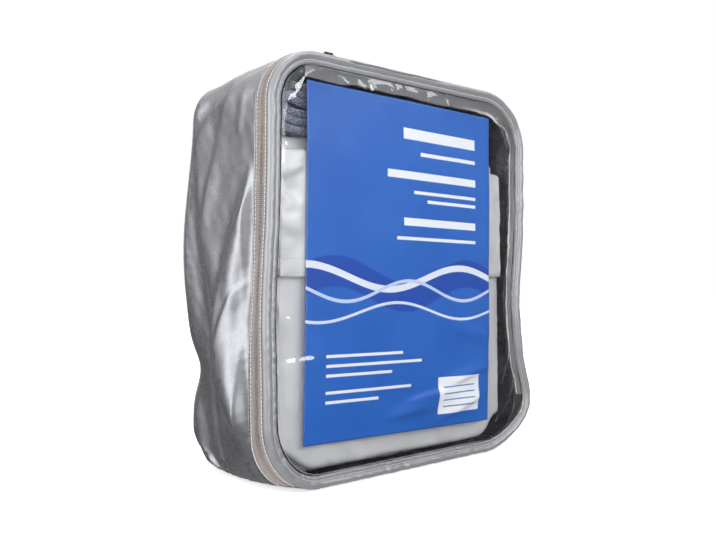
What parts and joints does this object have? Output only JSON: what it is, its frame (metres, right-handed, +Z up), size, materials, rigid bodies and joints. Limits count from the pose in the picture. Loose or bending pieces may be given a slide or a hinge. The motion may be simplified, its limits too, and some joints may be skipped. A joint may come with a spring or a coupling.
{
  "type": "boat cover folded in its zipped storage bag",
  "caption": "Silver-coated cloth boat cover, folded in its own zipped storage bag with a clear front window, with its wound tie-down rope and a printed insert card; stands upright.",
  "frame": {"origin": "middle of the bag's flat bottom, on the surface it stands on", "axes": "+Z up, -Y out of the clear window at the front, +X to the right as seen from the front"},
  "size_m": [0.32, 0.1577, 0.3595],
  "materials": {
    "silver_cloth": "silver-coated polyester, satin sheen",
    "binding_cloth": "silver-coated polyester, satin sheen",
    "clear_film": "clear soft film, gloss",
    "zip_cloth": "woven tape, matt",
    "zip_coil": "nylon coil, satin",
    "zip_metal": "black paint, semi-gloss",
    "card_print": "coated card, satin",
    "cover_cloth": "silver-coated polyester, satin sheen",
    "rope_braid": "braided cord, matt"
  },
  "bodies": {
    "root": {"side_gusset": "silver_cloth", "bottom_gusset": "silver_cloth", "back_panel": "silver_cloth", "back_piping": "binding_cloth", "front_binding": "binding_cloth", "window": "clear_film", "zip_tape_front": "zip_cloth", "zip_tape_rear": "zip_cloth", "zip_coil": "zip_coil", "zip_slider": "zip_metal", "zip_puller": "zip_metal", "insert_card": "card_print", "folded_cover": "cover_cloth", "rope_hank": "rope_braid"}
  },
  "joints": []
}
